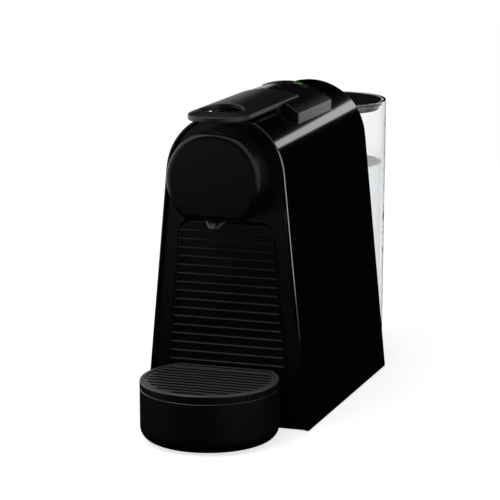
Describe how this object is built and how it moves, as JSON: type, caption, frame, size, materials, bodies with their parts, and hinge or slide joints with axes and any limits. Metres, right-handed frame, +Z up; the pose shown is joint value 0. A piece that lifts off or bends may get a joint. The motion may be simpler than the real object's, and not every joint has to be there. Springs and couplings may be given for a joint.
{
  "type": "pod coffee machine",
  "caption": "Slim arched coffee machine for capsules: lift-up lever, round brew head, ribbed bin front, sliding round drip tray, clear lift-off water tank behind.",
  "frame": {"origin": "centre of the bounding box on the table plane", "axes": "+Z up, -Y towards the front with the spout and tray, +X to the right as seen from the front"},
  "size_m": [0.11, 0.328, 0.2055],
  "materials": {
    "gloss_black": "high gloss",
    "satin_black": "satin",
    "disc_black": "satin",
    "lever_black": "semi gloss",
    "inner_plastic": "moulded",
    "button_dark": "semi gloss",
    "clear_plastic": "clear",
    "charcoal": "satin",
    "white_plastic": "moulded",
    "rubber": "matt",
    "hose": "silicone",
    "steel": "drawn",
    "cast_aluminium": "cast",
    "winding": "taped copper winding",
    "board": "lacquered board",
    "board_parts": "moulded"
  },
  "bodies": {
    "body": {"base_plate": "satin_black", "board_parts": "board_parts", "brew_frame": "inner_plastic", "brew_head_ring": "satin_black", "brew_hose": "hose", "button_board": "board", "button_switches": "white_plastic", "capsule_chute": "inner_plastic", "coffee_spout": "inner_plastic", "control_block": "satin_black", "control_board": "board", "cord_gland": "charcoal", "coupling_seal": "rubber", "disc_cap": "disc_black", "extraction_plate": "steel", "flow_meter": "white_plastic", "front_panel": "satin_black", "heater_block": "cast_aluminium", "lever_pivot_pins": "steel", "meter_hose": "hose", "outer_shell": "gloss_black", "outlet_pipe": "inner_plastic", "plate_seal": "rubber", "pressure_hose": "hose", "pump_body": "white_plastic", "pump_coil": "winding", "pump_mounts": "rubber", "rear_cover": "satin_black", "rubber_feet": "rubber", "tank_coupling": "inner_plastic", "tank_hose": "hose", "thermostat": "steel"},
    "lever": {"lever": "lever_black", "drive_pin": "steel"},
    "cage": {"capsule_cage": "inner_plastic", "injection_plate": "steel"},
    "button_left": {"button_left": "button_dark"},
    "button_right": {"button_right": "button_dark"},
    "tank": {"water_tank": "clear_plastic", "valve_spring": "steel"},
    "tank_valve": {"tank_valve": "white_plastic"},
    "tank_lid": {"tank_lid": "charcoal"},
    "drip_unit": {"drip_tray": "satin_black", "capsule_bin": "inner_plastic", "grille_front": "satin_black"},
    "cup_grid": {"cup_grid": "satin_black"}
  },
  "joints": [
    {"name": "lever_hinge", "type": "hinge", "parent": "body", "child": "lever", "pos_m": [0, -0.0305, 0.182], "axis": [-1, 0, 0], "range_deg": [0, 90]},
    {"name": "cage_slide", "type": "slide", "parent": "body", "child": "cage", "axis": [0, 1, 0], "range_m": [0, 0.0194], "deforming": ["brew_hose"]},
    {"name": "button_left_press", "type": "slide", "parent": "body", "child": "button_left", "axis": [0, 0, -1], "range_m": [0, 0.001], "stiffness_N_per_m": 600},
    {"name": "button_right_press", "type": "slide", "parent": "body", "child": "button_right", "axis": [0, 0, -1], "range_m": [0, 0.001], "stiffness_N_per_m": 600},
    {"name": "tank_lift", "type": "slide", "parent": "body", "child": "tank", "axis": [0, 0, 1], "range_m": [0, 0.2]},
    {"name": "tank_valve_slide", "type": "slide", "parent": "tank", "child": "tank_valve", "axis": [0, 0, -1], "range_m": [0, 0.0028], "deforming": ["valve_spring"]},
    {"name": "tank_lid_lift", "type": "slide", "parent": "tank", "child": "tank_lid", "axis": [0, 0, 1], "range_m": [0, 0.05]},
    {"name": "drip_unit_slide", "type": "slide", "parent": "body", "child": "drip_unit", "axis": [0, -1, 0], "range_m": [0, 0.085]},
    {"name": "cup_grid_lift", "type": "slide", "parent": "drip_unit", "child": "cup_grid", "axis": [0, 0, 1], "range_m": [0, 0.08]}
  ],
  "couplings": [
    {"joint": "cage_slide", "follows": "lever_hinge", "m_per_rad": 0.0123},
    {"joint": "tank_valve_slide", "follows": "tank_lift", "ratio": 0.014}
  ]
}
